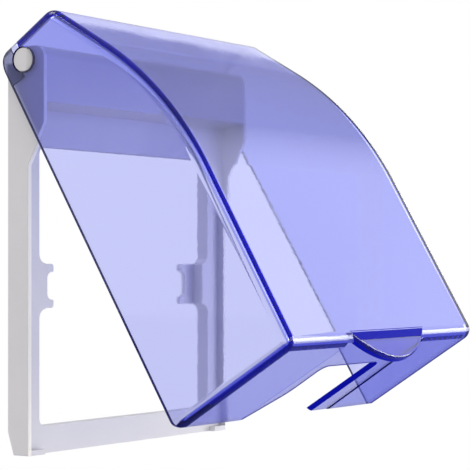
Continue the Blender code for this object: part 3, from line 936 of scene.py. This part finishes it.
reflected = maths(studio, "MINIMUM", studio.nodes.new("ShaderNodeLightPath").outputs["Glossy Depth"], 1.0)
above = facing(UP, 0.18, 0.42, 1.0, 0.35)
card = facing(TO_CARD, 0.96, 0.995, 0.0, 0.9)
blue_side = facing(TO_BLUE_SIDE, 0.2, 0.6, 0.0, 1.0)
brightness = blend("FLOAT", reflected, 1.0, maths(studio, "ADD", above, card))
colour_seen = blend("RGBA", maths(studio, "MULTIPLY", reflected, blue_side), WHITE, DEEP_BLUE)
studio.links.new(brightness, seen.inputs["Strength"])
studio.links.new(colour_seen, seen.inputs["Color"])
studio.links.new(facing(TO_LEFT_REAR, -1.0, 1.0, 0.2, 1.08), soft.inputs["Strength"])
studio.links.new(white_where_seen(studio, seen.outputs[0], soft.outputs[0]),
                 studio.nodes["World Output"].inputs["Surface"])
print("world:", len(studio.nodes), "nodes")

# %% [markdown]
# ## The floor
# A plain pale sheet lies well below the cover. The camera sees it glow white. In the lid it is matt paint near by
# and glows white far off, where it meets the white world, and its reflections are mixed with the world's deep
# blue. To light that has bounced off a matt surface, it is plain paint.

# %% Floor
FLOOR_DROP = 0.25
FLOOR_REACH = 6.0
FLOOR_COLOUR = (0.86, 0.86, 0.87, 1.0)
FLOOR_ROUGHNESS = 0.9
MATT_UNTIL, WHITE_FROM = 0.5, 2.0
DUSK_STRENGTH = 0.7
DUSK_SHARE = 0.8

floor_mesh = bpy.data.meshes.new("floor")
corners = np.array(((-1.0, -1.0), (1.0, -1.0), (1.0, 1.0), (-1.0, 1.0))) * FLOOR_REACH
floor_mesh.from_pydata(np.column_stack((corners, np.full(4, -FLOOR_DROP))).tolist(), [], [(0, 1, 2, 3)])
floor = bpy.data.objects.new("floor", floor_mesh)
bpy.context.scene.collection.objects.link(floor)


def floor_paint():
    """The glow's share is the distance from the middle, mapped to 0..1, or 1 for what the camera sees."""
    material, tree, shader = blank("floor_paint")
    nodes, links = tree.nodes, tree.links
    put(shader, {"Base Color": FLOOR_COLOUR, "Roughness": FLOOR_ROUGHNESS})
    glow, dusky = nodes.new("ShaderNodeEmission"), nodes.new("ShaderNodeEmission")
    put(dusky, {"Color": DEEP_BLUE, "Strength": DUSK_STRENGTH})
    where, length = nodes.new("ShaderNodeTexCoord"), nodes.new("ShaderNodeVectorMath")
    length.operation = "LENGTH"
    far_share, path = nodes.new("ShaderNodeMapRange"), nodes.new("ShaderNodeLightPath")
    put(far_share, {"From Min": MATT_UNTIL, "From Max": WHITE_FROM})
    links.new(where.outputs["Object"], length.inputs[0])
    links.new(length.outputs["Value"], far_share.inputs["Value"])
    glowing = maths(tree, "MAXIMUM", far_share.outputs["Result"], path.outputs["Is Camera Ray"])
    near_and_far = mix_shaders(tree, glowing, shader.outputs[0], glow.outputs[0])
    dusk = maths(tree, "MINIMUM", path.outputs["Glossy Depth"], DUSK_SHARE)
    seen_floor = mix_shaders(tree, dusk, near_and_far, dusky.outputs[0])
    links.new(white_where_seen(tree, seen_floor, shader.outputs[0]), nodes["Material Output"].inputs["Surface"])
    return material


floor.data.materials.append(floor_paint())
print("floor: %.2f m below the origin" % FLOOR_DROP)

# %% [markdown]
# ## Lamps
# Six soft boxes light the cover, as in a product photograph. The front ones stay low and the top one stands
# behind, because a lamp that the lid's small rounds mirror towards the camera turns their blue line grey. The
# narrow box at the back right draws the one bright strip on the lid's top, and its edge was placed for that.

# %% Lamps
MIDDLE = (0.0, -0.03, -0.045)
STRIP = (-0.0267, 0.0268, -0.0396)
SOFTBOXES = (  # name, place, width and height, watts, roll, target
    ("front softbox", (0.15, -0.9, 0.08), (0.5, 0.5), 1.0, 0.0, MIDDLE),
    ("front right softbox", (0.62, -0.72, 0.1), (0.4, 0.4), 2.5, 0.0, MIDDLE),
    ("top softbox", (-0.1, 0.35, 0.9), (0.5, 0.5), 2.5, 0.0, MIDDLE),
    ("right softbox", (0.76, 0.036, 0.195), (0.2, 0.26), 0.4, 0.0, MIDDLE),
    ("back right softbox", (0.6533, 0.3118, 0.3324), (0.2, 0.08), 0.045, 43.6, STRIP),
    ("low right softbox", (0.687, -0.449, -0.09), (0.3, 0.22), 0.8, 0.0, MIDDLE),
)


def softbox(name, spot, size, power, roll, target):
    """A rectangular area lamp at a spot, turned to the target: it shines back along the aim."""
    lamp = bpy.data.objects.new(name, bpy.data.lights.new(name, "AREA"))
    lamp.data.shape = "RECTANGLE"
    lamp.data.size, lamp.data.size_y = size
    lamp.data.energy = power
    bpy.context.scene.collection.objects.link(lamp)
    lamp.matrix_world = Matrix.Translation(spot) @ turned_to(Vector(spot) - Vector(target), roll)


for box in SOFTBOXES:
    softbox(*box)
